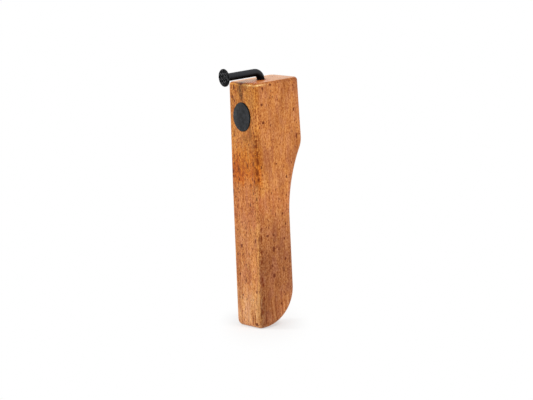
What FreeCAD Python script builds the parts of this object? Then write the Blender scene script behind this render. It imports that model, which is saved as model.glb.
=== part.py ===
import FreeCAD, Part
import math
import os

# Magnetic bottle opener: a hardwood lever with a bent nail for its hook and a disc magnet let into
# each narrow face of its head. The nail's head goes under the rim of a crown cap, the front face
# bears on the cap, the front magnet keeps the cap, and the rear magnet parks the opener on steel.
#
# Millimetres. +Z runs up the lever, which stands on the end of its handle with the nail on top.
# -Y is the front that faces the cap, and X = 0 is the middle of the wood. The origin is on the
# floor, in the middle of the opener's bounding box. Depths are measured back from the front face.

# Wooden lever
front_height = 127.0       # foot to top end, along the front face
top_slope = 3.5            # degrees by which the top end rises towards the back
head_depth = 28.65         # front to back at the top end
head_width = 23.55         # side to side
head_flare = 2.55          # degrees by which the back of the head leans outwards on its way down
shoulder_drop = 32.6       # from the top end down to where the head's back would meet the finger curve
shoulder_radius = 12.5
waist_height = 56.8        # where the straight back of the handle gives way to the finger curve
swell_depth = 22.5         # front to back where the handle swells above its heel
handle_lean = 1.6          # degrees by which the handle's back draws in on its way up
foot_depth = 2.4           # narrow flat foot, between the front face and the round heel
foot_width = 21.7          # side to side at the foot
taper_height = 75.0        # the sides draw in below this height
taper_blend = 14.0         # length of the gentle curve where they start to draw in
front_round = 2.2          # edges of the front face
back_round = 3.4           # edges along the back, from the foot to the top end
end_round = 1.7            # edges of the top end

# Disc magnets and their pockets
magnet_diameter = 15.0
magnet_thickness = 5.0
magnet_chamfer = 0.3
magnet_drop = 17.55        # from the front edge of the top end down to the middle of both magnets
magnet_proud = 0.5         # how far a magnet stands out of the wood
pocket_clearance = 0.1     # gap round the rim of a magnet
glue_bed = 0.3             # cured epoxy between a magnet and the floor of its pocket

# Bent nail and its hole
nail_diameter = 4.0
nail_length = 100.0        # along its middle, from the face of the head to the tip
nail_head_diameter = 9.2
nail_rim = 0.8             # thickness of the head at its rim
nail_cone = 1.6            # length of the taper under the head
nail_rim_chamfer = 0.35
nail_point = 7.0           # length of the four-sided point
nail_tip_width = 0.4       # across the blunt end of the point
bend_radius = 3.8          # of the nail's middle
leg_setback = 12.5         # from the front face to the upright leg of the nail
shank_rise = 4.0           # from the top end to the middle of the level shank
hook_reach = 10.9          # how far the face of the nail's head stands in front of the wood
chequer_pitch = 1.1
chequer_depth = 0.35
chequer_turn = 45.0        # degrees that the rows are turned round the nail
grip_marks = 6
grip_pitch = 1.1
grip_depth = 0.15
grip_start = 1.2           # from the taper under the head to the first mark
nail_hole_diameter = 5.2
nail_hole_spare = 1.5      # hole below the nail's tip
glue_gap = 0.05            # round both faces of the glue sleeve, so that round faces stay apart
glue_recess = 0.5          # the glue stops this far below the top end

SPARE = 5.0                # how far a cutting solid runs past the wood
TOUCH = 0.01               # nearness that counts as lying on a face

heel_radius = swell_depth - foot_depth
shoulder_height = front_height - shoulder_drop
magnet_height = front_height - magnet_drop
magnet_radius = magnet_diameter / 2
pocket_radius = magnet_radius + pocket_clearance
pocket_depth = magnet_thickness - magnet_proud + glue_bed
nail_radius = nail_diameter / 2
nail_head_radius = nail_head_diameter / 2
nail_hole_radius = nail_hole_diameter / 2
slope = math.radians(top_slope)
flare = math.radians(head_flare)
lean = math.radians(handle_lean)
top_forward = FreeCAD.Vector(0, -math.cos(slope), -math.sin(slope))   # along the top end, forwards
back_normal = FreeCAD.Vector(0, math.cos(flare), math.sin(flare))     # out of the back of the head
back_rising = FreeCAD.Vector(0, -math.sin(flare), math.cos(flare))    # up along the back of the head
handle_normal = FreeCAD.Vector(0, math.cos(lean), math.sin(lean))     # out of the handle's back
handle_rising = FreeCAD.Vector(0, -math.sin(lean), math.cos(lean))    # up along the handle's back
UP = FreeCAD.Vector(0, 0, 1)
SIDE = FreeCAD.Vector(1, 0, 0)
FORWARD = FreeCAD.Vector(0, -1, 0)


def top_height(depth):
    """Height of the top end at a depth behind the front face."""
    return front_height + depth * math.tan(slope)


def back_depth(height):
    """Depth of the straight back of the head at a height."""
    return head_depth + (top_height(head_depth) - height) * math.tan(flare)


def heel_end():
    """Where the round heel gives way to the straight back of the handle, as depth and height."""
    return FreeCAD.Vector(0, foot_depth, heel_radius) + handle_normal * heel_radius


def waist():
    """Where the straight back of the handle gives way to the finger curve, as depth and height."""
    return heel_end() + handle_rising * ((waist_height - heel_end().z) / handle_rising.z)


def shoulder_centres():
    """Centres of the finger curve and of the shoulder round that touches it, as depth and height."""
    corner = FreeCAD.Vector(0, back_depth(shoulder_height), shoulder_height)
    chord = corner - waist()
    curve_radius = chord.Length ** 2 / (2 * chord.dot(handle_normal))
    curve_centre = waist() + handle_normal * curve_radius
    start = corner - back_normal * shoulder_radius - curve_centre
    along = start.dot(back_rising)
    reach = curve_radius + shoulder_radius
    climb = -along + math.sqrt(along ** 2 - start.Length ** 2 + reach ** 2)
    shoulder_centre = corner - back_normal * shoulder_radius + back_rising * climb
    return curve_centre, curve_radius, shoulder_centre


# The origin is in the middle of the box that holds the opener. Its back is the shoulder or the lower
# rim of the rear magnet, and its front is the upper rim of the nail's head, which tips forwards.
magnet_face_depth = back_depth(magnet_height) + magnet_proud * math.cos(flare)
magnet_rim_depth = magnet_face_depth + (magnet_radius - magnet_chamfer) * math.sin(flare)
deepest = max(shoulder_centres()[2].y + shoulder_radius, magnet_rim_depth)
foremost = -hook_reach - (nail_head_radius - nail_rim_chamfer) * math.sin(slope)
front_y = -(deepest + foremost) / 2


def at(depth, height, side=0.0):
    """The point at a depth behind the front face, a height above the floor and a place in X."""
    return FreeCAD.Vector(side, front_y + depth, height)


def arc_about(centre, start, end):
    """The shorter arc round a centre from start to end."""
    middle = (start - centre) + (end - centre)
    middle.normalize()
    return Part.Arc(start, centre + middle * (start - centre).Length, end).toShape()


def side_outline():
    """The lever seen from the side, in the plane X = 0: a straight front and a contoured back."""
    shift = FreeCAD.Vector(0, front_y, 0)
    curve_centre, curve_radius, shoulder_centre = shoulder_centres()
    to_shoulder = (shoulder_centre - curve_centre).normalize()
    shoulder_start = curve_centre + to_shoulder * curve_radius + shift
    shoulder_end = shoulder_centre + back_normal * shoulder_radius + shift
    foot_front = at(0, 0)
    foot_back = at(foot_depth, 0)
    curve_start = waist() + shift
    top_back = at(head_depth, top_height(head_depth))
    top_front = at(0, front_height)
    return Part.Wire([
        Part.LineSegment(foot_front, foot_back).toShape(),
        arc_about(foot_back + UP * heel_radius, foot_back, heel_end() + shift),
        Part.LineSegment(heel_end() + shift, curve_start).toShape(),
        arc_about(curve_centre + shift, curve_start, shoulder_start),
        arc_about(shoulder_centre + shift, shoulder_start, shoulder_end),
        Part.LineSegment(shoulder_end, top_back).toShape(),
        Part.LineSegment(top_back, top_front).toShape(),
        Part.LineSegment(top_front, foot_front).toShape(),
    ])


def front_outline():
    """The lever seen from the front, run past the wood at both ends: straight head, tapered handle."""
    draw = math.atan((head_width - foot_width) / 2 / taper_height)
    high = top_height(head_depth) + SPARE
    low = -SPARE
    half_head = head_width / 2
    half_low = foot_width / 2 - SPARE * math.tan(draw)
    half_blend = taper_blend / 2
    blend_radius = half_blend / math.tan(draw / 2)

    def side(sign):
        blend_top = at(-SPARE, taper_height + half_blend, sign * half_head)
        blend_centre = blend_top - SIDE * sign * blend_radius
        outward = SIDE * sign * math.cos(draw) - UP * math.sin(draw)
        blend_low = blend_centre + outward * blend_radius
        return [
            Part.LineSegment(at(-SPARE, high, sign * half_head), blend_top).toShape(),
            arc_about(blend_centre, blend_top, blend_low),
            Part.LineSegment(blend_low, at(-SPARE, low, sign * half_low)).toShape(),
        ]

    foot = Part.LineSegment(at(-SPARE, low, half_low), at(-SPARE, low, -half_low)).toShape()
    top = Part.LineSegment(at(-SPARE, high, -half_head), at(-SPARE, high, half_head)).toShape()
    return Part.Wire(side(1) + [foot] + side(-1)[::-1] + [top])


def edges_where(shape, test):
    """The edges of a shape whose middle point passes a test."""
    chosen = []
    for edge in shape.Edges:
        middle = edge.valueAt((edge.FirstParameter + edge.LastParameter) / 2)
        if test(middle):
            chosen.append(edge)
    return chosen


def plug(face_point, outward, radius, out, into):
    """A round plug on a face, from a height out of it to a depth into it."""
    return Part.makeCylinder(radius, out + into, face_point - outward * into, outward)


def lever_blank():
    """The lever before it is drilled: side and front outlines crossed, then the edges rounded."""
    reach = head_width / 2 + SPARE
    slab = Part.Face(side_outline())
    slab.translate(SIDE * -reach)
    slab = slab.extrude(SIDE * 2 * reach)
    plank = Part.Face(front_outline()).extrude(FORWARD * -(deepest + 2 * SPARE))
    blank = slab.common(plank)

    def on_side(point):
        return abs(point.x) > foot_width / 2 - TOUCH

    def on_front(point):
        return abs(point.y - front_y) < TOUCH

    def on_top(point):
        return abs(point.z - top_height(point.y - front_y)) < TOUCH

    def along_back(point):
        return on_side(point) and not on_front(point) and not on_top(point)

    def round_front(point):
        return on_front(point) and not on_top(point)

    blank = blank.makeFillet(back_round, edges_where(blank, along_back))
    blank = blank.makeFillet(front_round, edges_where(blank, round_front))
    return blank.makeFillet(end_round, edges_where(blank, on_top))


def wooden_handle():
    """The lever with a pocket for each magnet and a blind hole for the nail."""
    wood = lever_blank()
    for face_point, outward in magnet_places:
        wood = wood.cut(plug(face_point, outward, pocket_radius, SPARE, pocket_depth))
    hole_floor = nail_tip - UP * nail_hole_spare
    return wood.cut(Part.makeCylinder(nail_hole_radius, nail_corner.z - hole_floor.z, hole_floor, UP))


def magnet(face_point, outward):
    """A disc magnet with broken rims, standing a little out of its pocket."""
    disc = plug(face_point, outward, magnet_radius, magnet_proud, magnet_thickness - magnet_proud)
    rims = [edge for edge in disc.Edges if edge.Closed and isinstance(edge.Curve, Part.Circle)]
    return disc.makeChamfer(magnet_chamfer, rims)


def magnet_adhesive(face_point, outward):
    """The cured bed of epoxy between a magnet and the floor of its pocket."""
    floor = face_point - outward * pocket_depth
    return Part.makeCylinder(magnet_radius - magnet_chamfer, glue_bed, floor, outward)


def nail_adhesive():
    """The cured sleeve of epoxy that holds the leg of the nail in its hole."""
    top = nail_entry.z - nail_hole_radius * math.tan(slope) - glue_recess
    foot = at(leg_setback, nail_tip.z + nail_point)
    sleeve = Part.makeCylinder(nail_hole_radius - glue_gap, top - foot.z, foot, UP)
    return sleeve.cut(Part.makeCylinder(nail_radius + glue_gap, top - foot.z, foot, UP))


def groove(offset, height, depth):
    """A long cutter with a V section: its flat side at a height, its keel a depth below, along Y."""
    reach = nail_head_radius + SPARE
    over = depth / 2
    section = Part.makePolygon([
        FreeCAD.Vector(offset, -reach, height - depth),
        FreeCAD.Vector(offset + depth + over, -reach, height + over),
        FreeCAD.Vector(offset - depth - over, -reach, height + over),
        FreeCAD.Vector(offset, -reach, height - depth),
    ])
    return Part.Face(section).extrude(FreeCAD.Vector(0, 2 * reach, 0))


def chequered(head, face_height):
    """The head with V grooves cut across its face both ways, which leaves rows of small pyramids."""
    flat_radius = nail_head_radius - nail_rim_chamfer
    beside = int(flat_radius / chequer_pitch + 0.5)
    offsets = [chequer_pitch * (step + 0.5) for step in range(-beside, beside)]
    for turn in (chequer_turn, chequer_turn + 90):
        cutters = [groove(offset, face_height, chequer_depth) for offset in offsets]
        for cutter in cutters:
            cutter.rotate(FreeCAD.Vector(), UP, turn)
        head = head.cut(Part.makeCompound(cutters))
    return head


def grip_mark(height, side):
    """A cutter for one mark across a side of the shank, where the dies gripped the wire."""
    keel = side * (nail_radius - grip_depth)
    mouth = side * (nail_radius + grip_depth)
    section = Part.makePolygon([
        FreeCAD.Vector(keel, -nail_diameter, height),
        FreeCAD.Vector(mouth, -nail_diameter, height + 2 * grip_depth),
        FreeCAD.Vector(mouth, -nail_diameter, height - 2 * grip_depth),
        FreeCAD.Vector(keel, -nail_diameter, height),
    ])
    return Part.Face(section).extrude(FreeCAD.Vector(0, 2 * nail_diameter, 0))


def head_and_shank():
    """The straight part of the nail with its head, stood on the end of the bend and pointing up."""
    length = shank_length
    under_rim = length - nail_rim
    under_cone = under_rim - nail_cone
    half = Part.makePolygon([
        FreeCAD.Vector(0, 0, 0),
        FreeCAD.Vector(nail_radius, 0, 0),
        FreeCAD.Vector(nail_radius, 0, under_cone),
        FreeCAD.Vector(nail_head_radius, 0, under_rim),
        FreeCAD.Vector(nail_head_radius, 0, length - nail_rim_chamfer),
        FreeCAD.Vector(nail_head_radius - nail_rim_chamfer, 0, length),
        FreeCAD.Vector(0, 0, length),
        FreeCAD.Vector(0, 0, 0),
    ])
    turned = chequered(Part.Face(half).revolve(FreeCAD.Vector(), UP, 360), length)
    marks = []
    for step in range(grip_marks):
        height = under_cone - grip_start - step * grip_pitch
        marks.append(grip_mark(height, 1))
        marks.append(grip_mark(height, -1))
    return turned.cut(Part.makeCompound(marks))


def nail_point_solid():
    """The point: four flats that leave the round wire and draw in to the tip."""
    half_tip = nail_tip_width / 2
    taper = Part.makeWedge(
        -nail_radius, 0, -nail_radius, -half_tip, -half_tip,
        nail_radius, nail_point, nail_radius, half_tip, half_tip,
    )
    taper.Placement = FreeCAD.Placement(nail_tip + UP * nail_point, FreeCAD.Rotation(-FORWARD, -UP))
    return taper.common(Part.makeCylinder(nail_radius, nail_point, nail_tip, UP))


def bent_nail():
    """The nail: head and shank over the front, a round bend, and a leg down into the wood."""
    bend_start = nail_corner - UP * bend_tangent
    bend_end = nail_corner + top_forward * bend_tangent
    hook = head_and_shank()
    hook.Placement = FreeCAD.Placement(bend_end, FreeCAD.Rotation(UP, top_forward))
    section = Part.Face(Part.Wire(Part.Circle(bend_start, UP, nail_radius).toShape()))
    bend = section.revolve(bend_start + FORWARD * bend_radius, SIDE, 90 + top_slope)
    point_start = nail_tip + UP * nail_point
    leg = Part.makeCylinder(nail_radius, bend_start.z - point_start.z, point_start, UP)
    return hook.multiFuse([bend, leg, nail_point_solid()]).removeSplitter()


# Where the nail goes: its middle line enters the top end, turns forwards and runs along the top end.
nail_entry = at(leg_setback, top_height(leg_setback))
nail_corner = nail_entry + UP * (shank_rise / math.cos(slope))
turn_angle = math.radians(90 + top_slope)
bend_tangent = bend_radius * math.tan(turn_angle / 2)
shank_length = (leg_setback + hook_reach) / math.cos(slope) - bend_tangent
leg_length = nail_length - shank_length - bend_radius * turn_angle
nail_tip = nail_corner - UP * (bend_tangent + leg_length)

# The middle of the wood's surface under each magnet, and the way out of the wood there.
front_place = (at(0, magnet_height), FORWARD)
rear_place = (at(back_depth(magnet_height), magnet_height), back_normal)
magnet_places = (front_place, rear_place)

sub_parts = {
    "wooden_handle": wooden_handle(),
    "bent_nail": bent_nail(),
    "nail_adhesive": nail_adhesive(),
    "front_magnet": magnet(*front_place),
    "front_magnet_adhesive": magnet_adhesive(*front_place),
    "rear_magnet": magnet(*rear_place),
    "rear_magnet_adhesive": magnet_adhesive(*rear_place),
}

os.makedirs("parts", exist_ok=True)
for node, shape in sub_parts.items():
    shape.exportStep(os.path.join("parts", node + ".step"))
    print(node, "solids", len(shape.Solids), "volume", round(shape.Volume, 2), "valid", shape.isValid())
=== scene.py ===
import math
from collections import namedtuple

import bpy
from mathutils import Matrix, Vector


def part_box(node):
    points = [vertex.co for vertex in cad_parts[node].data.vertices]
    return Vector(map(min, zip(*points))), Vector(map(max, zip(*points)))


# Looks of the magnetic bottle opener: an oiled hardwood lever, a black nail for its hook and two
# charcoal disc magnets. The scene is in metres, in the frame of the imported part. Inside the
# materials, places and sizes are in millimetres.

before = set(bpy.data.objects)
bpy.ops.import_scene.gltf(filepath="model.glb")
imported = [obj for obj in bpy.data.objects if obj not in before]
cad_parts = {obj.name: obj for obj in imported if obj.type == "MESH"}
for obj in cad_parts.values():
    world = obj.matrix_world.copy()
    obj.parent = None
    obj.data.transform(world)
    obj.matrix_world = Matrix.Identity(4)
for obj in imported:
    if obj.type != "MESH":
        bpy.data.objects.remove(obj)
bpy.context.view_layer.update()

MM = 0.001

# The photograph's camera, as a pinhole fitted to the lever's edges. Pixels are of the 533 x 400 picture.
PICTURE_WIDTH = 533
CAMERA_AZIMUTH = 54.416
CAMERA_ELEVATION = 7.945
CAMERA_ROLL = 1.821
CAMERA_DISTANCE = 1.379131
CAMERA_TARGET = Vector((0.0, 0.004415, 0.065))
CAMERA_CLIP_START = 0.01
FOCAL_PIXELS = 2662.0
SHIFT_RIGHT_PIXELS = 0.427
SHIFT_DOWN_PIXELS = -0.125
SENSOR_WIDTH = 36.0

# Places on the lever and the front magnet, in millimetres, read from the frame
wood_low, wood_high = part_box("wooden_handle")
magnet_low, magnet_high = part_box("front_magnet")
FRONT_MM = wood_low.y / MM
SIDE_MM = wood_high.x / MM
TOP_MM = wood_high.z / MM
MAGNET_MM = (magnet_low.z + magnet_high.z) / 2 / MM

# The top end falls by this angle towards the front, and the shank of the nail runs along it
TOP_SLOPE = math.radians(3.5)
SHANK_FORWARD = Vector((0.0, -math.cos(TOP_SLOPE), -math.sin(TOP_SLOPE)))
SHANK_UPWARD = Vector((0.0, -math.sin(TOP_SLOPE), math.cos(TOP_SLOPE)))

# Sockets of the colour mix node: share, first and second colour, and the result
MIX_COLOUR_INPUTS = (0, 6, 7)
MIX_COLOUR_OUTPUT = 2

NO_TURN = (0.0, 0.0, 0.0)

# The part of a scattered dot that is solid, as a share of its size
DOT_CORE = 0.4


class Nodes:
    """A node tree, and short calls that add nodes to it."""

    def __init__(self, tree):
        self.tree = tree

    def node(self, kind, **settings):
        made = self.tree.nodes.new(kind)
        for key, value in settings.items():
            setattr(made, key, value)
        return made

    def feed(self, socket, value):
        """Link a socket to an output, or set it to a plain value."""
        if isinstance(value, bpy.types.NodeSocket):
            self.tree.links.new(value, socket)
        elif isinstance(value, (tuple, list)) and len(value) == 3 and socket.type == "RGBA":
            socket.default_value = (*value, 1.0)
        else:
            socket.default_value = value

    def math(self, operation, first, second=0.0):
        made = self.node("ShaderNodeMath", operation=operation)
        self.feed(made.inputs[0], first)
        self.feed(made.inputs[1], second)
        return made.outputs["Value"]

    def chain(self, operation, values):
        """Several values taken together by one operation, from the first to the last."""
        total = values[0]
        for value in values[1:]:
            total = self.math(operation, total, value)
        return total

    def add(self, *values):
        return self.chain("ADD", values)

    def minus(self, first, second):
        return self.math("SUBTRACT", first, second)

    def times(self, *values):
        return self.chain("MULTIPLY", values)

    def most(self, *values):
        """The largest of several values."""
        return self.chain("MAXIMUM", values)

    def ramp(self, value, start, end, low=0.0, high=1.0, smooth=True):
        """A value carried from start..end to low..high, and held there outside."""
        made = self.node("ShaderNodeMapRange")
        made.interpolation_type = "SMOOTHSTEP" if smooth else "LINEAR"
        self.feed(made.inputs["Value"], value)
        made.inputs["From Min"].default_value = start
        made.inputs["From Max"].default_value = end
        self.feed(made.inputs["To Min"], low)
        self.feed(made.inputs["To Max"], high)
        return made.outputs["Result"]

    def band(self, value, middle, half_width, edge):
        """One inside a band about the middle, falling smoothly to nought over an edge on both sides."""
        off = self.math("ABSOLUTE", self.minus(value, middle))
        return self.ramp(off, half_width, half_width + edge, 1.0, 0.0)

    def parts(self, vector):
        split = self.node("ShaderNodeSeparateXYZ")
        self.feed(split.inputs["Vector"], vector)
        return split.outputs["X"], split.outputs["Y"], split.outputs["Z"]

    def join(self, first, second):
        """A vector with these two parts and no third."""
        made = self.node("ShaderNodeCombineXYZ")
        self.feed(made.inputs["X"], first)
        self.feed(made.inputs["Y"], second)
        return made.outputs["Vector"]

    def vector(self, operation, first, second):
        """An operation on two vectors that gives a vector."""
        made = self.node("ShaderNodeVectorMath", operation=operation)
        self.feed(made.inputs[0], first)
        self.feed(made.inputs[1], second)
        return made.outputs["Vector"]

    def scaled(self, vector, factor):
        made = self.node("ShaderNodeVectorMath", operation="SCALE")
        self.feed(made.inputs[0], vector)
        made.inputs["Scale"].default_value = factor
        return made.outputs["Vector"]

    def dot(self, vector, axis):
        """How far a vector reaches along an axis."""
        made = self.node("ShaderNodeVectorMath", operation="DOT_PRODUCT")
        self.feed(made.inputs[0], vector)
        made.inputs[1].default_value = axis
        return made.outputs["Value"]

    def length(self, vector):
        made = self.node("ShaderNodeVectorMath", operation="LENGTH")
        self.feed(made.inputs[0], vector)
        return made.outputs["Value"]

    def seen_directly(self):
        """One for camera, glossy and transmission rays, and nought for the rays that light the object."""
        path = self.node("ShaderNodeLightPath")
        names = ("Is Camera Ray", "Is Glossy Ray", "Is Transmission Ray")
        return self.most(*(path.outputs[name] for name in names))

    def matt(self, shade):
        """A plain matt grey."""
        made = self.node("ShaderNodeBsdfDiffuse")
        self.feed(made.inputs["Color"], (shade, shade, shade))
        return made.outputs["BSDF"]

    def blend(self, share, first, second):
        """Two shaders blended, the second as far as the share says."""
        made = self.node("ShaderNodeMixShader")
        for socket, value in zip(made.inputs, (share, first, second)):
            self.feed(socket, value)
        return made.outputs["Shader"]


class Shader(Nodes):
    """A material with one surface shader, and calls for its textures and colours."""

    def __init__(self, name):
        self.material = bpy.data.materials.new(name)
        self.material.use_nodes = True
        super().__init__(self.material.node_tree)
        self.tree.nodes.clear()
        self.surface = self.node("ShaderNodeBsdfPrincipled")
        output = self.node("ShaderNodeOutputMaterial")
        self.feed(output.inputs["Surface"], self.surface.outputs["BSDF"])

    def set(self, name, value):
        self.feed(self.surface.inputs[name], value)

    def millimetres(self):
        """Place on the object, in millimetres."""
        return self.scaled(self.node("ShaderNodeTexCoord").outputs["Object"], 1.0 / MM)

    def normal(self):
        """The surface's own direction, in the object's axes."""
        return self.node("ShaderNodeTexCoord").outputs["Normal"]

    def stretch(self, vector, scale, turn=NO_TURN):
        mapping = self.node("ShaderNodeMapping")
        self.feed(mapping.inputs["Vector"], vector)
        mapping.inputs["Scale"].default_value = scale
        mapping.inputs["Rotation"].default_value = turn
        return mapping.outputs["Vector"]

    def noise(self, vector, scale=1.0, detail=3.0, roughness=0.5):
        texture = self.node("ShaderNodeTexNoise")
        self.feed(texture.inputs["Vector"], vector)
        texture.inputs["Scale"].default_value = scale
        texture.inputs["Detail"].default_value = detail
        texture.inputs["Roughness"].default_value = roughness
        return texture.outputs["Fac"]

    def fibrous(self, vector, across, along, turn=NO_TURN, detail=3.0, roughness=0.5):
        """Noise drawn out along Z, with these scales across and along it."""
        return self.noise(self.stretch(vector, (across, across, along), turn), 1.0, detail, roughness)

    def spread(self, noise, reach):
        """A noise of nought to one, moved to lie about nought and carried to a reach."""
        return self.times(self.minus(noise, 0.5), reach)

    def shaken(self, vector, scale, reach):
        """A place shifted to and fro by a noise vector."""
        texture = self.node("ShaderNodeTexNoise")
        self.feed(texture.inputs["Vector"], vector)
        texture.inputs["Scale"].default_value = scale
        centred = self.vector("SUBTRACT", texture.outputs["Color"], (0.5, 0.5, 0.5))
        return self.vector("ADD", vector, self.scaled(centred, reach))

    def scatter(self, vector, across, along, turn, channel, chances, sizes, rim):
        """Dots in scattered cells drawn out along Z, each with its own size and strength.

        One of the cell's random numbers is its chance. A dot comes up to full strength between the two
        chances, and grows through the sizes from the first of them to one. The rim is where it ends."""
        texture = self.node("ShaderNodeTexVoronoi")
        self.feed(texture.inputs["Vector"], self.stretch(vector, (across, across, along), turn))
        texture.inputs["Scale"].default_value = 1.0
        chance = self.parts(texture.outputs["Color"])[channel]
        size = self.ramp(chance, chances[0], 1.0, *sizes, smooth=False)
        off = self.math("DIVIDE", texture.outputs["Distance"], size)
        return self.times(self.ramp(off, DOT_CORE, rim, 1.0, 0.0), self.ramp(chance, *chances))

    def blot(self, place, centre, size, soft=0.5):
        """One inside an ellipsoid of these half sizes, falling to nought over a soft rim."""
        off = self.length(self.vector("DIVIDE", self.vector("SUBTRACT", place, centre), size))
        return self.ramp(off, 1.0 - soft, 1.0 + soft, 1.0, 0.0)

    def mix(self, share, first, second, blend="MIX"):
        made = self.node("ShaderNodeMix", data_type="RGBA", blend_type=blend)
        factor, low, high = (made.inputs[i] for i in MIX_COLOUR_INPUTS)
        self.feed(factor, share)
        self.feed(low, first)
        self.feed(high, second)
        return made.outputs[MIX_COLOUR_OUTPUT]

    def shade(self, share, colour, factor):
        """A colour multiplied by a factor, as far as the share says."""
        return self.mix(share, colour, factor, "MULTIPLY")

    def bump(self, height, distance, strength):
        """Small relief, as deep as the distance in metres."""
        made = self.node("ShaderNodeBump")
        self.feed(made.inputs["Height"], height)
        made.inputs["Distance"].default_value = distance
        made.inputs["Strength"].default_value = strength
        self.set("Normal", made.outputs["Normal"])


# How a share runs along a measure: a fade from low to high, or a belt that is one about its middle
Fade = namedtuple("Fade", "start end low high", defaults=(0.0, 1.0))
Belt = namedtuple("Belt", "middle half_width edge")

# Noises of the wood: their scales across and along the fibres, and a turn of its own for each
SWAY = dict(across=0.06, along=0.025, detail=2.0)
UNEVEN = dict(across=0.35, along=0.12, turn=(0.5, 0.1, 0.3), roughness=0.6)
RAGGED = dict(across=0.5, along=0.22, turn=(0.2, 0.7, 0.5), detail=4.0, roughness=0.65)
FLECK = dict(across=1.9, along=0.80, roughness=0.55)
STREAK = dict(across=1.4, along=0.09, turn=(0.0, 0.0, 0.4), roughness=0.6)
SPECK = dict(across=2.2, along=1.7, turn=(0.0, 0.0, 1.1), detail=2.0)
TINT = dict(across=0.30, along=0.12, turn=(0.3, 0.2, 0.9), roughness=0.55)
CLOUD = dict(across=0.17, along=0.05, roughness=0.55)
LAYERS = dict(scale=(1.5, 0.10, 0.4), turn=(0.0, 0.0, 0.12))
BROKEN = dict(scale=0.55, detail=2.0)

# How far the noises move places, in millimetres, and the scale of the noise that shakes the marks
SWAY_REACH = (5.0, -4.0)
UNEVEN_REACH = 22.0
LOOSE_X_REACH = 9.0
LOOSE_DEPTH_REACH = 12.0
SHAKE_SCALE = 1.5
SHAKE_REACH = 1.1

# How far the turn of an edge is made ragged, where one is a right angle
RAGGED_TURN = 1.1

# Pores: the scales and turn of their cells, which of the cell's random numbers is the chance, the
# chances between which a pore comes up, its sizes, and the end of its soft rim
DASHES = dict(
    across=0.85, along=0.34, turn=NO_TURN, channel=0, chances=(0.25, 0.55), sizes=(0.08, 0.32), rim=1.1
)
PITS = dict(
    across=0.26, along=0.16, turn=(0.0, 0.0, 0.7), channel=1, chances=(0.5, 0.7), sizes=(0.03, 0.12), rim=1.2
)
GRIT = dict(
    across=1.10, along=0.60, turn=(0.0, 0.0, 0.3), channel=2, chances=(0.5, 0.7), sizes=(0.08, 0.36), rim=1.1
)

# What the fibres are mixed from. The rest is flecks, and the streaks count for more at the foot.
SPECK_SHARE = 0.25
STREAK_SHARE = Fade(8.0, 30.0, 0.50, 0.27)

# Contrast of the fibres, what the front, the heart and the part round the disc add to it, and the
# value that it spreads them about
CONTRAST = 0.97
FRONT_CONTRAST = 0.36
HEART_CONTRAST = 0.22
DISC_CONTRAST = 0.32
MEAN_FIBRE = 0.495

# Colours of the fibres, and the fibre values between which each takes over from the one before
BROWN = (0.26, 0.063, 0.014)
ORANGE = (0.52, 0.166, 0.038)
GOLD = (0.68, 0.275, 0.076)
PALE = (0.84, 0.405, 0.168)
FIBRE_STEPS = (
    (0.37, 0.46, ORANGE),
    (0.45, 0.54, GOLD),
    (0.53, 0.66, PALE),
)

# Colours in the wood's clouds, pores, seam, crevices and stains
RUST = (0.39, 0.122, 0.052)
PINK = (0.64, 0.255, 0.123)
PORE = (0.140, 0.023, 0.005)
SEAM = (0.20, 0.038, 0.005)
CREVICE = (0.17, 0.025, 0.002)
STAIN = (0.120, 0.040, 0.011)

# Colours of the edges, worn and with a painted highlight: the long ones, and the top one left and right
HONEY = (0.86, 0.43, 0.13)
AMBER = (0.92, 0.42, 0.085)
PALE_WORN_AND_LIT = (0.94, 0.60, 0.24)

# Colours of the top end, among them a painted shade where its round meets the end and a painted sheen on the
# end grain. The last two have one for dark fibres and one for pale ones.
TURNED_OVER = (0.30, 0.085, 0.018)
PAINTED_SHEEN_END = (0.95, 0.59, 0.34)
RUBBED_END = (1.0, 0.46, 0.14)
GLOW = ((0.38, 0.090, 0.014), (0.78, 0.250, 0.062))
EMBER = ((0.42, 0.080, 0.006), (0.76, 0.190, 0.022))

# Factors that parts of the top end are multiplied by. The second is a painted shadow of the nail over a
# stain, behind the front rim.
BRINK_FACTOR = (0.80, 0.74, 0.74)
BEHIND_RIM_FACTOR = (0.76, 0.64, 0.54)
LAYER_FACTOR = (0.80, 0.74, 0.68)

# How strongly the details cover the wood
DASH_STRENGTH = 0.8
GRIT_STRENGTH = 0.6
PIT_STRENGTH = 0.9
SEAM_STRENGTH = 0.65
CREVICE_STRENGTH = 0.85
VEIN_STRENGTH = 0.55
TURNED_OVER_STRENGTH = 0.7
GLOW_STRENGTH = 0.88
EMBER_STRENGTH = 0.9

# Fades along a noise or a fibre value
TINT_FADE = Fade(0.42, 0.66, 0.0, 0.5)
CLOUD_FADE = Fade(0.42, 0.68, 0.0, 0.35)
LAYER_FADE = Fade(0.48, 0.62)
BROKEN_FADE = Fade(0.36, 0.56, 0.45, 1.0)
PINK_BY_FIBRE = Fade(0.4, 0.6)
END_COLOUR_BY_FIBRE = Fade(0.42, 0.56)
WORN_AND_LIT_BY_FIBRE = Fade(0.40, 0.54, 0.2, 1.0)
STAIN_BY_FIBRE = Fade(0.40, 0.60, 1.0, 0.6)

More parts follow.
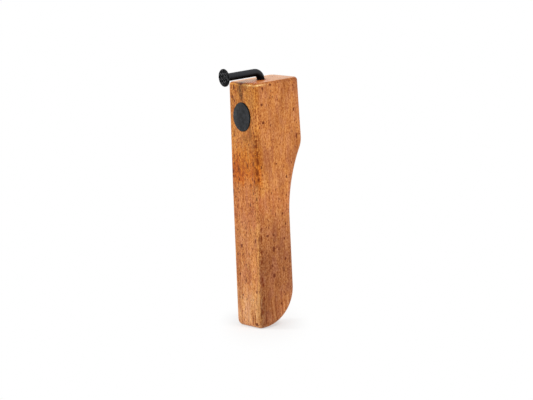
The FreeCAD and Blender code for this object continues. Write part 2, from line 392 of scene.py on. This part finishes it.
# Zones, as limits along the measures of the wood. x, depth, z and up are in millimetres, and so are
# loose_x and loose_depth. rise and back say how far the surface faces up and to the front or back, and
# turned and tilted how far a rounded edge has turned to the side and upwards, from nought to one.
# streak and body are values of the fibres, about a half.
FRONT_ZONE = {"depth": Fade(4.5, 1.0)}
SIDE_ZONE = {"x": Fade(6.0, 10.5), "turned": Fade(0.50, 0.85)}
HEART_ZONE = {"up": Fade(68.0, 34.0)}
HEART_EDGE_ZONE = {"up": Fade(68.0, 34.0), "depth": Fade(2.5, 6.0, 0.6, 0.0)}
DISC_ZONE = {"z": Belt(106.0, 12.0, 6.0)}
SEAM_ZONE = {"x": Fade(7.0, 9.5), "up": Belt(85.0, 11.0, 6.0), "streak": Fade(0.42, 0.58)}
GRIT_ZONE = {"up": Fade(10.0, 26.0, 0.3, 1.0)}
LONG_EDGE_ZONE = {"turned": Belt(0.42, 0.22, 0.16), "back": Fade(0.15, 0.4), "up": Fade(8.0, 22.0, 0.2, 1.0)}
LONG_EDGE_WORN_AND_LIT = (Fade(66.0, 80.0, 0.32, 0.0), Fade(40.0, 52.0, 0.18, 0.0))

# Zones of the top end
TOP_ZONE = {"z": Fade(TOP_MM - 7.0, TOP_MM - 5.0)}
END_GRAIN_ZONE = {"rise": Fade(0.90, 0.97)}
TURNED_OVER_ZONE = {"tilted": Belt(0.84, 0.14, 0.07)}
BRINK_ZONE = {"tilted": Belt(0.40, 0.22, 0.20), "depth": Fade(9.0, 14.0)}
PAINTED_SHEEN_ZONE = {"depth": Fade(9.0, 15.0, 0.38, 0.34)}
RUBBED_ZONE = {
    "rise": Fade(0.97, 0.99), "x": Fade(-9.5, -7.0, 0.75, 0.0), "body": Fade(0.40, 0.56, 0.35, 1.0),
}
GLOW_ZONE = {"loose_x": Fade(-1.5, 3.0), "loose_depth": Fade(4.0, 9.5, 1.0, 0.25)}
GLOW_END_ZONE = {"loose_depth": Fade(15.0, 10.5)}
BEHIND_RIM_ZONE = {"loose_x": Fade(-1.0, 3.5), "loose_depth": Fade(6.5, 3.0)}
TOP_EDGE_ZONE = {"tilted": Belt(0.36, 0.14, 0.18), "x": Fade(-2.0, 4.0, 0.8, 1.0), "depth": Fade(9.5, 2.0)}
TOP_EDGE_COLOUR = Fade(1.0, 5.0)

# The oiled finish: its roughness by the rise of the surface, its shine, the share of the fibres in the
# relief, and the relief's depth in metres and strength
OILED_ROUGHNESS = Fade(0.6, 0.9, 0.45, 0.33)
OILED_SHINE = 0.10
FIBRE_RELIEF = 0.6
OILED_RELIEF = (0.15 * MM, 0.5)

# Broad shades of the two faces that were seen: the face, the factor it is multiplied by, and the zone
FACE_SHADES = (
    # Deep orange above the middle of the front, deepest in a band whose left part is dark
    ("front", (1.06, 1.03, 0.72), {"up": Fade(68.0, 84.0)}),
    ("front", (1.0, 0.84, 0.50), {"up": Belt(84.0, 6.0, 5.0)}),
    ("front", (0.85, 0.70, 0.60), {"up": Belt(82.0, 2.5, 3.0), "x": Fade(2.0, -3.0)}),
    # Redder under the band, and paler right of the stain at the top
    ("front", (1.0, 0.91, 0.88), {"up": Belt(68.0, 11.0, 7.0)}),
    ("front", (1.07, 1.10, 1.02), {"x": Fade(1.0, 4.0), "z": Fade(110.0, 116.0)}),
    # Paler downwards and palest at the foot, but not in its right corner
    ("front", (1.09, 1.10, 1.20), {"up": Fade(70.0, 25.0)}),
    ("front", (1.08, 1.13, 1.06), {"up": Fade(58.0, 30.0), "x": Fade(4.0, 6.5)}),
    ("front", (1.14, 1.41, 1.70), {"up": Fade(25.0, 12.0), "depth": Fade(0.6, 2.4, 1.0, 0.3)}),
    ("front", (0.74, 0.69, 0.66), {"up": Fade(26.0, 14.0), "x": Fade(7.0, 8.6)}),
    # The head of the side a little duller at the top and at the back
    ("side", (0.955, 0.945, 0.94), {"up": Fade(106.0, 114.0)}),
    ("side", (0.95, 0.94, 0.93), {"up": Fade(90.0, 100.0), "depth": Fade(12.0, 18.0)}),
    # Belts across the middle of the side, and a pale one along its front edge
    ("side", (0.92, 0.88, 0.86), {"up": Belt(87.0, 4.0, 3.0)}),
    ("side", (1.06, 1.08, 1.02), {"up": Belt(77.0, 5.0, 6.0), "depth": Fade(22.0, 16.0)}),
    ("side", (0.965, 0.91, 0.97), {"up": Belt(65.0, 4.0, 4.0)}),
    ("side", (1.10, 1.15, 1.08), {"up": Belt(82.0, 9.0, 5.0), "depth": Belt(2.6, 1.0, 1.2)}),
    # The dark heart, darkest by the front edge, and the paler heel
    ("side", (0.68, 0.645, 0.74), HEART_ZONE),
    ("side", (0.75, 0.70, 0.66), HEART_EDGE_ZONE),
    ("side", (1.32, 1.34, 1.22), {"up": Fade(24.0, 10.0), "depth": Fade(6.0, 14.0)}),
)

# Small dark marks on the front: across and up, then half sizes, which are drawn this much larger
FRONT_MARK_GROWTH = 1.1
FRONT_MARKS = (
    (4.8, 64.2, 0.5, 0.9), (0.1, 51.8, 0.4, 0.7), (-4.1, 42.2, 0.5, 0.9), (8.2, 45.9, 0.5, 0.8),
    (-3.0, 37.8, 0.4, 0.6), (-4.4, 82.2, 0.62, 1.5), (-3.2, 89.7, 0.4, 0.8), (-4.2, 77.0, 0.4, 0.8),
    (7.2, 2.1, 1.2, 0.8), (8.1, 19.2, 0.4, 0.7), (5.9, 74.5, 0.4, 1.0), (-8.3, 119.5, 0.5, 1.0),
    (-1.0, 24.6, 0.4, 1.0), (-4.2, 16.3, 0.3, 0.7), (7.8, 70.6, 0.4, 0.8), (3.4, 84.2, 0.4, 1.2),
    (-6.6, 124.4, 0.6, 1.2), (-7.5, 37.6, 0.4, 0.7), (-8.2, 88.5, 0.35, 1.0), (-7.5, 99.5, 0.35, 0.8),
    (-6.3, 27.2, 0.45, 0.6), (-8.4, 84.8, 0.35, 0.8), (9.3, 76.8, 0.5, 0.8), (10.3, 67.7, 0.45, 0.9),
    (8.6, 85.7, 0.4, 1.2), (-6.5, 117.3, 0.35, 0.9), (-5.5, 72.0, 0.35, 0.6), (7.4, 77.8, 0.45, 0.7),
    (-0.6, 126.6, 1.1, 0.7), (-9.6, 80.8, 0.7, 1.3), (-9.3, 78.1, 0.6, 0.6), (-9.9, 70.0, 0.35, 1.8),
)

# Small dark marks on the side: depth and up, then half sizes, which are drawn this much larger
SIDE_MARK_GROWTH = 1.15
SIDE_MARKS = (
    (9.8, 126.0, 0.5, 0.6), (4.1, 116.1, 0.6, 0.6), (4.8, 106.8, 0.7, 0.7), (9.2, 27.1, 0.85, 0.95),
    (5.4, 48.2, 0.7, 0.5), (9.5, 48.3, 0.5, 0.5), (16.0, 45.7, 0.5, 0.6), (9.3, 40.9, 0.7, 1.3),
    (2.7, 83.9, 0.4, 0.7), (13.4, 12.0, 0.5, 0.6), (15.4, 29.8, 0.4, 1.4), (8.2, 32.4, 0.5, 0.7),
    (12.2, 85.0, 0.5, 0.4), (25.6, 98.2, 0.4, 1.2), (17.1, 53.4, 0.45, 0.6), (15.3, 58.9, 0.5, 0.6),
    (24.2, 112.2, 0.4, 0.8), (4.9, 124.2, 0.5, 0.9), (16.5, 35.1, 0.4, 0.7), (18.4, 77.9, 0.4, 0.7),
)

# Crevices along the edge between the two faces: depth and up, then half sizes
CREVICES = (
    (0.4, 97.6, 0.5, 1.0), (0.4, 95.0, 0.45, 1.2), (0.8, 91.0, 0.5, 1.5), (0.9, 87.0, 0.60, 2.0),
    (0.6, 81.4, 0.6, 1.8), (1.1, 77.6, 0.5, 1.0), (1.7, 52.0, 0.5, 0.9), (1.6, 47.2, 0.6, 1.6),
    (1.5, 40.0, 0.5, 1.2), (1.4, 34.9, 0.5, 1.2), (1.7, 25.9, 0.6, 1.3), (2.1, 23.0, 0.7, 1.3),
    (2.4, 15.8, 0.6, 1.3), (1.5, 13.0, 0.5, 1.2), (1.4, 9.0, 0.5, 1.7),
)

# A rusty vein on the side, as a row of long blots: depth and up, then half sizes
VEINS = (
    (10.2, 91.0, 0.5, 3.5), (9.6, 87.0, 0.5, 3.0), (8.8, 82.0, 0.5, 3.0), (7.6, 77.5, 0.6, 3.5),
)

# Grey-brown stains on the front, near the hook and round the disc: across, up, half sizes, strength
STAINS = (
    (-1.4, 127.0, 1.9, 1.6, 1.0), (-1.1, 124.0, 1.6, 2.9, 1.0), (-0.3, 120.8, 1.4, 2.8, 1.0),
    (-1.0, 123.0, 2.2, 4.2, 0.50), (1.0, 118.4, 1.5, 1.8, 0.5), (-7.0, 118.2, 1.9, 1.5, 0.3),
    (6.8, 101.2, 1.2, 3.2, 0.5), (2.4, 98.2, 3.2, 1.6, 0.35), (-6.8, 101.4, 1.8, 1.8, 0.35),
)

# The reddest patch of the top end, beside the nail: its middle and half sizes
EMBER_MIDDLE = (2.6, FRONT_MM + 10.8, TOP_MM - 1.0)
EMBER_SIZE = (3.4, 3.6, 3.0)

# How far the marks and the stains reach into the wood
MARK_REACH = 2.5
STAIN_REACH = 3.0

# How soft the rims of the blots are
MARK_SOFT = 0.4
CREVICE_SOFT = 0.5
STAIN_SOFT = 0.6
EMBER_SOFT = 0.75
VEIN_SOFT = 0.8


class Wood(Shader):
    """Oiled orange-brown hardwood with its fibres along Z, built up in steps that pass a colour on.

    x, depth and z are places across, behind the front face and up. up is z with an uneven wander, so
    that broad zones have no straight borders. front and side are one on the two faces that were seen."""

    def __init__(self):
        super().__init__("oiled_hardwood")
        self.place = self.millimetres()
        self.x, y, self.z = self.parts(self.place)
        self.depth = self.minus(y, FRONT_MM)
        self.up = self.add(self.z, self.spread(self.fibrous(self.place, **UNEVEN), UNEVEN_REACH))
        self.marked = self.shaken(self.place, SHAKE_SCALE, SHAKE_REACH)
        self.find_zones()
        self.lay_fibres()

    def find_zones(self):
        """The two faces, the top end and the rounds of the edges, by place and by normal."""
        self.ragged = self.fibrous(self.place, **RAGGED)
        wander = self.spread(self.ragged, RAGGED_TURN)
        across, self.back, self.rise = (self.math("ABSOLUTE", part) for part in self.parts(self.normal()))
        self.turned = self.add(across, wander)
        self.tilted = self.add(self.rise, wander)
        self.front = self.zone(FRONT_ZONE)
        self.side = self.zone(SIDE_ZONE)
        self.at_top = self.zone(TOP_ZONE)
        self.end_grain = self.times(self.at_top, self.zone(END_GRAIN_ZONE))
        self.loose_x = self.add(self.x, self.spread(self.ragged, LOOSE_X_REACH))
        self.loose_depth = self.add(self.depth, self.spread(self.ragged, LOOSE_DEPTH_REACH))

    def lay_fibres(self):
        """One value about a half for the fibres: flecks, longer streaks and fine specks."""
        sway = self.fibrous(self.place, **SWAY)
        bend = self.join(*(self.spread(sway, reach) for reach in SWAY_REACH))
        self.grain = self.vector("ADD", self.place, bend)
        self.streak = self.fibrous(self.grain, **STREAK)
        streak_share = self.ramp(self.up, *STREAK_SHARE)
        fleck_share = self.minus(1.0 - SPECK_SHARE, streak_share)
        mixed = self.add(
            self.times(self.fibrous(self.grain, **FLECK), fleck_share),
            self.times(self.streak, streak_share),
            self.times(self.fibrous(self.grain, **SPECK), SPECK_SHARE),
        )
        contrast = self.add(
            CONTRAST,
            self.times(self.front, FRONT_CONTRAST),
            self.times(self.side, self.zone(HEART_ZONE), HEART_CONTRAST),
            self.times(self.front, self.zone(DISC_ZONE), DISC_CONTRAST),
        )
        self.body = self.add(MEAN_FIBRE, self.spread(mixed, contrast))

    def zone(self, limits):
        """The share of a zone, from its fades and belts along the measures that are named."""
        shares = []
        for measure, limit in limits.items():
            shape = self.band if isinstance(limit, Belt) else self.ramp
            shares.append(shape(getattr(self, measure), *limit))
        return self.times(*shares)

    def fibre_colour(self):
        """The colour of the fibres, with clouds of pink and rust and of brown over them."""
        colour = BROWN
        for start, end, paler in FIBRE_STEPS:
            colour = self.mix(self.ramp(self.body, start, end, smooth=False), colour, paler)
        tint = self.ramp(self.fibrous(self.grain, **TINT), *TINT_FADE)
        colour = self.mix(tint, colour, self.mix(self.ramp(self.body, *PINK_BY_FIBRE), RUST, PINK))
        cloud = self.ramp(self.fibrous(self.grain, **CLOUD), *CLOUD_FADE)
        return self.mix(cloud, colour, BROWN)

    def shade_faces(self, colour):
        """Multiply in the broad shades, and lay a dark seam on the front by the edge to the side."""
        faces = {"front": self.front, "side": self.side}
        for face, factor, limits in FACE_SHADES:
            colour = self.shade(self.times(faces[face], self.zone(limits)), colour, factor)
        seam = self.times(self.front, self.zone(SEAM_ZONE), SEAM_STRENGTH)
        return self.mix(seam, colour, SEAM)

    def open_pores(self, colour):
        """Dark dashes everywhere, and finer grit on the front that thins out at the foot."""
        self.dashes = self.scatter(self.grain, **DASHES)
        colour = self.mix(self.times(self.dashes, DASH_STRENGTH), colour, PORE)
        grit = self.times(self.scatter(self.grain, **GRIT), self.front, self.zone(GRIT_ZONE))
        return self.mix(self.times(grit, GRIT_STRENGTH), colour, PORE)

    def turn_the_top(self, colour):
        """The round of the top edge: a painted shade where it meets the end, and darker along its back half.
        """
        # Painted shade on the round of the top edge, where it meets the end grain.
        round_shade = self.times(self.at_top, self.zone(TURNED_OVER_ZONE), TURNED_OVER_STRENGTH)
        colour = self.mix(round_shade, colour, TURNED_OVER)
        return self.shade(self.times(self.at_top, self.zone(BRINK_ZONE)), colour, BRINK_FACTOR)

    def finish_end(self, colour):
        """End grain with a painted sheen, worn by rubbing at the left, with a warm ragged patch by the nail,
        a painted shadow of the nail over a stain behind the front rim, and fine layers.
        """
        # Painted sheen: the end grain made paler, as where it catches a reflection.
        colour = self.mix(self.times(self.end_grain, self.zone(PAINTED_SHEEN_ZONE)), colour, PAINTED_SHEEN_END)
        colour = self.mix(self.times(self.at_top, self.zone(RUBBED_ZONE)), colour, RUBBED_END)
        by_fibre = self.ramp(self.body, *END_COLOUR_BY_FIBRE)
        glow = self.times(self.end_grain, self.zone(GLOW_ZONE), self.zone(GLOW_END_ZONE), GLOW_STRENGTH)
        colour = self.mix(glow, colour, self.mix(by_fibre, *GLOW))
        ember = self.blot(self.marked, EMBER_MIDDLE, EMBER_SIZE, EMBER_SOFT)
        ember = self.times(self.end_grain, ember, EMBER_STRENGTH)
        colour = self.mix(ember, colour, self.mix(by_fibre, *EMBER))
        # Painted shadow of the nail's shank over a stain, just behind the front rim.
        nail_shadow_and_stain = self.times(self.end_grain, self.zone(BEHIND_RIM_ZONE))
        colour = self.shade(nail_shadow_and_stain, colour, BEHIND_RIM_FACTOR)
        layers = self.ramp(self.noise(self.stretch(self.place, **LAYERS), detail=2.0), *LAYER_FADE)
        return self.shade(self.times(self.end_grain, layers), colour, LAYER_FACTOR)

    def worn_and_lit_edges(self, colour):
        """Paler edges, worn and with a painted highlight, on the long edges low down and along the front
        part of the top edge.
        """
        # Worn paler and given a painted highlight along the rounded edges.
        worn_and_lit = self.ramp(self.body, *WORN_AND_LIT_BY_FIBRE)
        low_down = self.add(*(self.ramp(self.up, *fade) for fade in LONG_EDGE_WORN_AND_LIT))
        long_edge = self.times(self.zone(LONG_EDGE_ZONE), low_down, worn_and_lit)
        colour = self.mix(long_edge, colour, HONEY)
        broken = self.ramp(self.noise(self.place, **BROKEN), *BROKEN_FADE)
        top_edge = self.times(self.at_top, self.zone(TOP_EDGE_ZONE), broken, worn_and_lit)
        return self.mix(top_edge, colour, self.mix(self.ramp(self.x, *TOP_EDGE_COLOUR), AMBER, PALE_WORN_AND_LIT))

    def front_blot(self, across, up, size, reach, soft):
        """A blot on the front face, that reaches this far into the wood."""
        return self.blot(self.marked, (across, FRONT_MM, up), (size[0], reach, size[1]), soft)

    def side_blot(self, depth, up, size, soft):
        """A blot on the side that was seen, as deep as the marks."""
        return self.blot(self.marked, (SIDE_MM, FRONT_MM + depth, up), (MARK_REACH, *size), soft)

    def place_marks(self, colour):
        """The vein, the crevices and the stains, then the pits with the small dark marks."""
        veins = self.most(*(self.side_blot(depth, up, size, VEIN_SOFT) for depth, up, *size in VEINS))
        colour = self.mix(self.times(veins, VEIN_STRENGTH), colour, RUST)
        crevices = self.most(*(
            self.side_blot(depth, up, size, CREVICE_SOFT) for depth, up, *size in CREVICES
        ))
        colour = self.mix(self.times(crevices, CREVICE_STRENGTH), colour, CREVICE)
        stains = self.most(*(
            self.times(self.front_blot(across, up, size, STAIN_REACH, STAIN_SOFT), strength)
            for across, up, *size, strength in STAINS
        ))
        colour = self.mix(self.times(stains, self.ramp(self.body, *STAIN_BY_FIBRE)), colour, STAIN)

        marks = []
        for across, up, *size in FRONT_MARKS:
            grown = [FRONT_MARK_GROWTH * half for half in size]
            marks.append(self.front_blot(across, up, grown, MARK_REACH, MARK_SOFT))
        for depth, up, *size in SIDE_MARKS:
            grown = [SIDE_MARK_GROWTH * half for half in size]
            marks.append(self.side_blot(depth, up, grown, MARK_SOFT))
        self.pits = self.most(self.scatter(self.grain, **PITS), *marks)
        return self.mix(self.times(self.pits, PIT_STRENGTH), colour, PORE)

    def finish_surface(self, colour):
        """Set the colour, a soft oiled shine and the relief of the fibres and hollows."""
        self.set("Base Color", colour)
        self.set("Roughness", self.ramp(self.rise, *OILED_ROUGHNESS))
        self.set("Specular IOR Level", OILED_SHINE)
        relief = self.minus(self.times(self.body, FIBRE_RELIEF), self.most(self.dashes, self.pits))
        self.bump(relief, *OILED_RELIEF)


def wood_material():
    """The hardwood of the lever, from its fibres to its marks."""
    wood = Wood()
    colour = wood.fibre_colour()
    colour = wood.shade_faces(colour)
    colour = wood.open_pores(colour)
    colour = wood.turn_the_top(colour)
    colour = wood.finish_end(colour)
    colour = wood.worn_and_lit_edges(colour)
    colour = wood.place_marks(colour)
    wood.finish_surface(colour)
    return wood.material


# How a coating goes over from its first colour to its second by its clouds
CLOUDY = Fade(0.35, 0.7)

# Colours of the nail's coating in its cloudy parts, its painted highlight on the upper side of the shank,
# and its painted glints on the ridges of the head
COATING = ((0.0012, 0.0015, 0.0020), (0.0030, 0.0036, 0.0045))
COATING_PAINTED_HIGHLIGHT = (0.0330, 0.0345, 0.0380)
PAINTED_GLINT = (0.125, 0.128, 0.137)

# Noises of the nail's coating: its clouds, the noise that scatters its painted glints, and its fine grain
COATING_CLOUD = dict(scale=0.6)
GLINT_NOISE = dict(scale=1.0, detail=2.0, roughness=0.6)
COATING_GRAIN = dict(scale=6.0, detail=2.0)

# The face of the head and the ridges on it, by how far a place lies behind the tips of the ridges
ON_FACE = Fade(0.55, 0.40)
ON_RIDGES = Fade(0.22, 0.03)

# How strongly the ridges carry painted glints, by the noise that scatters them
GLINT_SHARE = Fade(0.45, 0.55, 0.08, 1.0)

# The painted highlight on the upper side, by how far the surface faces up, and how much of it the face of
# the head does without
PAINTED_HIGHLIGHT_FACING = Fade(-0.55, 0.32)
FACE_WITHOUT = 0.9

# Where the nail comes clear of the wood, across its shank, and how much painted highlight its upper side
# keeps below that
CLEAR_OF_WOOD = Fade(128.4, 130.8, 0.1, 1.0)

# The nail's finish: roughness by its clouds, shine, and the relief's depth in metres and strength
COATING_ROUGHNESS = Fade(0.3, 0.7, 0.26, 0.36)
COATING_SHINE = 0.025
COATING_RELIEF = (0.02 * MM, 0.5)


def nail_face():
    """How far the face of the nail's head stands along the shank, in millimetres."""
    return max(vertex.co.dot(SHANK_FORWARD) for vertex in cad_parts["bent_nail"].data.vertices) / MM


def nail_material():
    """Black coating on steel, with a painted highlight on the upper side and a few painted glints on the
    ridges of the head.
    """
    shader = Shader("satin_black_coating")
    place = shader.millimetres()
    cloud = shader.noise(place, **COATING_CLOUD)
    sunk = shader.minus(nail_face(), shader.dot(place, SHANK_FORWARD))
    on_face = shader.ramp(sunk, *ON_FACE)
    clear_of_wood = shader.ramp(shader.dot(place, SHANK_UPWARD), *CLEAR_OF_WOOD)
    # Painted highlight: the upper side of the shank made paler, as if lit from above.
    highlight_facing = shader.ramp(shader.parts(shader.normal())[2], *PAINTED_HIGHLIGHT_FACING)
    above = shader.times(highlight_facing, clear_of_wood, shader.minus(1.0, shader.times(on_face, FACE_WITHOUT)))
    # Painted glints: pale specks on the ridges of the head.
    glint_noise = shader.ramp(shader.noise(place, **GLINT_NOISE), *GLINT_SHARE)
    painted_glints = shader.times(on_face, shader.ramp(sunk, *ON_RIDGES), glint_noise)

    colour = shader.mix(shader.ramp(cloud, *CLOUDY), *COATING)
    colour = shader.mix(above, colour, COATING_PAINTED_HIGHLIGHT)
    shader.set("Base Color", shader.mix(painted_glints, colour, PAINTED_GLINT))
    shader.set("Roughness", shader.ramp(cloud, *COATING_ROUGHNESS))
    shader.set("Specular IOR Level", COATING_SHINE)
    shader.bump(shader.noise(place, **COATING_GRAIN), *COATING_RELIEF)
    return shader.material


# Colours of the magnets' coating in its cloudy parts, where paler and lit by painted light, and the painted
# shade on the sheltered rim
CHARCOAL = ((0.0200, 0.0213, 0.0242), (0.0265, 0.0279, 0.0308))
CHARCOAL_PALER_AND_LIT = (0.051, 0.0545, 0.0575)
CHARCOAL_PAINTED_SHADE = (0.0010, 0.0011, 0.0013)

# Noises of the magnets' coating: its clouds, the mottle over them and its fine grain
CHARCOAL_CLOUD = dict(scale=0.35)
CHARCOAL_MOTTLE = dict(scale=0.65, roughness=0.65)
CHARCOAL_GRAIN = dict(scale=5.0, detail=2.0)
MOTTLE_FACTOR = Fade(0.38, 0.62, 0.62, 1.38)

# How much paler the faces are, by the square of the distance from their middle, and by painted light to the
# left
PALER_OUTWARD = Fade(4.0, 52.0, 0.0, 0.20)
PAINTED_LIGHT_LEFT = Fade(1.0, -7.0, 0.0, 0.55)

# Painted shade on the sheltered part of the rim: the way it faces, how far it has to, and how strongly it is
# dark
SHELTERED_WAY = (0.92, 0.0, 0.39)
SHELTERED_TURN = Fade(0.10, 0.60)
PAINTED_SHADE_STRENGTH = 0.95

# The painted shade also covers a strip of the faces beside the rim.
# The strip of the faces beside it, by the square of the distance from their middle, and the part of
# the strip that lies to the right, along a line that leans by this slant
BESIDE_RIM = Fade(46.0, 53.0)
LEE = Fade(2.0, 5.5)
LEE_SLANT = 0.42

# The magnets' finish: roughness by its clouds, shine, and the relief's depth in metres and strength
CHARCOAL_ROUGHNESS = Fade(0.3, 0.7, 0.5, 0.62)
CHARCOAL_SHINE = 0.12
CHARCOAL_RELIEF = (0.015 * MM, 0.4)


def magnet_material():
    """Matt charcoal coating on a disc magnet, paler outwards, with painted light to the left and painted
    shade on the sheltered rim.
    """
    shader = Shader("charcoal_coating")
    place = shader.millimetres()
    x, _, z = shader.parts(place)
    height = shader.minus(z, MAGNET_MM)
    off_squared = shader.add(shader.times(x, x), shader.times(height, height))
    cloud = shader.noise(place, **CHARCOAL_CLOUD)
    mottle = shader.ramp(shader.noise(place, **CHARCOAL_MOTTLE), *MOTTLE_FACTOR, smooth=False)
    # Paler towards the rim, and painted light that pales the faces to the left.
    paler_and_lit = shader.add(shader.ramp(off_squared, *PALER_OUTWARD), shader.ramp(x, *PAINTED_LIGHT_LEFT))
    lee = shader.ramp(shader.add(x, shader.times(height, LEE_SLANT)), *LEE)
    beside_rim = shader.times(shader.ramp(off_squared, *BESIDE_RIM), lee)
    # Painted shade on the sheltered part of the rim and beside it.
    on_rim = shader.ramp(shader.dot(shader.normal(), SHELTERED_WAY), *SHELTERED_TURN)
    sheltered = shader.times(shader.most(on_rim, beside_rim), PAINTED_SHADE_STRENGTH)

    colour = shader.mix(shader.ramp(cloud, *CLOUDY), *CHARCOAL)
    colour = shader.mix(paler_and_lit, colour, CHARCOAL_PALER_AND_LIT)
    colour = shader.shade(1.0, colour, mottle)
    shader.set("Base Color", shader.mix(sheltered, colour, CHARCOAL_PAINTED_SHADE))
    shader.set("Roughness", shader.ramp(cloud, *CHARCOAL_ROUGHNESS))
    shader.set("Specular IOR Level", CHARCOAL_SHINE)
    shader.bump(shader.noise(place, **CHARCOAL_GRAIN), *CHARCOAL_RELIEF)
    return shader.material


# The epoxy: its two colours, its clouds and its roughness
EPOXY = ((0.20, 0.10, 0.03), (0.30, 0.17, 0.06))
EPOXY_CLOUD = dict(scale=0.8, detail=2.0)
EPOXY_ROUGHNESS = 0.15


def epoxy_material():
    """Cured amber epoxy, a little cloudy."""
    shader = Shader("cured_epoxy")
    cloud = shader.noise(shader.millimetres(), **EPOXY_CLOUD)
    shader.set("Base Color", shader.mix(cloud, *EPOXY))
    shader.set("Roughness", EPOXY_ROUGHNESS)
    return shader.material


def dress():
    """Give every CAD node its material."""
    coating = nail_material()
    charcoal = magnet_material()
    epoxy = epoxy_material()
    materials = {
        "wooden_handle": wood_material(),
        "bent_nail": coating,
        "front_magnet": charcoal,
        "rear_magnet": charcoal,
        "nail_adhesive": epoxy,
        "front_magnet_adhesive": epoxy,
        "rear_magnet_adhesive": epoxy,
    }
    for name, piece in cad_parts.items():
        for slot in piece.material_slots:
            slot.material = materials[name]


WORLD_LIGHT = 0.55
FLOOR_HALF_SIZE = 3.0
FLOOR_PALE = 0.92             # the floor as it lights the object
FLOOR_SHADED = 0.85           # the floor as it is seen in the shadow's patch
SHADOW_SHARE = 0.45           # how much of the lit floor shows under the plain white
SHADOW_SIZE = (0.023, 0.075)  # half sizes of the shadow's patch, across and along the camera's view
SHADOW_FADE = (0.3, 1.15)     # where the patch fades, as shares of its half sizes


def light_world():
    """Surroundings that light the object softly and are seen as plain white."""
    world = bpy.data.worlds.new("studio")
    bpy.context.scene.world = world
    world.use_nodes = True
    tree = Nodes(world.node_tree)
    background = world.node_tree.nodes["Background"]
    tree.feed(background.inputs["Color"], (1.0, 1.0, 1.0))
    strength = tree.ramp(tree.seen_directly(), 0.0, 1.0, WORLD_LIGHT, 1.0, smooth=False)
    tree.feed(background.inputs["Strength"], strength)


def floor_material():
    """Plain white where it is seen, except in a patch round the foot that shows the shadow."""
    material = bpy.data.materials.new("pale_floor")
    material.use_nodes = True
    tree = Nodes(material.node_tree)
    material.node_tree.nodes.clear()

    patch = tree.node("ShaderNodeMapping", vector_type="TEXTURE")
    tree.feed(patch.inputs["Vector"], tree.node("ShaderNodeTexCoord").outputs["Object"])
    patch.inputs["Rotation"].default_value = (0.0, 0.0, math.radians(CAMERA_AZIMUTH))
    patch.inputs["Scale"].default_value = (*SHADOW_SIZE, 1.0)
    share = tree.ramp(tree.length(patch.outputs["Vector"]), *SHADOW_FADE, SHADOW_SHARE, 0.0)
    white = tree.node("ShaderNodeEmission")
    white.inputs["Strength"].default_value = 1.0
    seen = tree.blend(share, white.outputs["Emission"], tree.matt(FLOOR_SHADED))
    floor = tree.blend(tree.seen_directly(), tree.matt(FLOOR_PALE), seen)
    output = tree.node("ShaderNodeOutputMaterial")
    tree.feed(output.inputs["Surface"], floor)
    return material


def lay_floor():
    """A large square of floor under the object."""
    half = FLOOR_HALF_SIZE
    corners = [(-half, -half, 0.0), (half, -half, 0.0), (half, half, 0.0), (-half, half, 0.0)]
    mesh = bpy.data.meshes.new("floor")
    mesh.from_pydata(corners, [], [(0, 1, 2, 3)])
    mesh.materials.append(floor_material())
    floor = bpy.data.objects.new("floor", mesh)
    bpy.context.scene.collection.objects.link(floor)


def away(azimuth, elevation):
    """Unit vector from the object towards a place seen at an azimuth and elevation in degrees."""
    a = math.radians(azimuth)
    e = math.radians(elevation)
    return Vector((math.sin(a) * math.cos(e), -math.cos(a) * math.cos(e), math.sin(e)))


# Square soft lamps: name, azimuth and elevation in degrees, distance and size in metres, power in watts
LAMPS = (
    ("key", -40.0, 50.0, 0.7, 0.12, 1.45),
    ("front", 5.0, 20.0, 0.8, 0.5, 0.75),
    ("side", 100.0, 50.0, 0.5, 0.14, 1.15),
)


def hang_lamps():
    """Hang the lamps round the object, each turned to its middle."""
    for name, azimuth, elevation, distance, size, power in LAMPS:
        light = bpy.data.lights.new(name, "AREA")
        light.shape = "SQUARE"
        light.size = size
        light.energy = power
        lamp = bpy.data.objects.new(name, light)
        bpy.context.scene.collection.objects.link(lamp)
        back = away(azimuth, elevation)
        lamp.location = CAMERA_TARGET + back * distance
        lamp.rotation_euler = back.to_track_quat("Z", "Y").to_euler()


def place_camera():
    """Set the camera at the photograph's viewpoint."""
    data = bpy.data.cameras.new("camera")
    data.sensor_width = SENSOR_WIDTH
    data.lens = FOCAL_PIXELS / PICTURE_WIDTH * SENSOR_WIDTH
    data.shift_x = -SHIFT_RIGHT_PIXELS / PICTURE_WIDTH
    data.shift_y = SHIFT_DOWN_PIXELS / PICTURE_WIDTH
    data.clip_start = CAMERA_CLIP_START
    camera = bpy.data.objects.new("camera", data)
    bpy.context.scene.collection.objects.link(camera)
    azimuth = math.radians(CAMERA_AZIMUTH)
    roll = math.radians(CAMERA_ROLL)
    back = away(CAMERA_AZIMUTH, CAMERA_ELEVATION)
    level = Vector((math.cos(azimuth), math.sin(azimuth), 0.0))
    upright = back.cross(level)
    right = level * math.cos(roll) - upright * math.sin(roll)
    up = level * math.sin(roll) + upright * math.cos(roll)
    turn = Matrix((right, up, back)).transposed().to_4x4()
    camera.matrix_world = Matrix.Translation(CAMERA_TARGET + back * CAMERA_DISTANCE) @ turn
    bpy.context.scene.camera = camera


dress()
light_world()
lay_floor()
hang_lamps()
place_camera()
bpy.context.scene.view_settings.view_transform = "Standard"
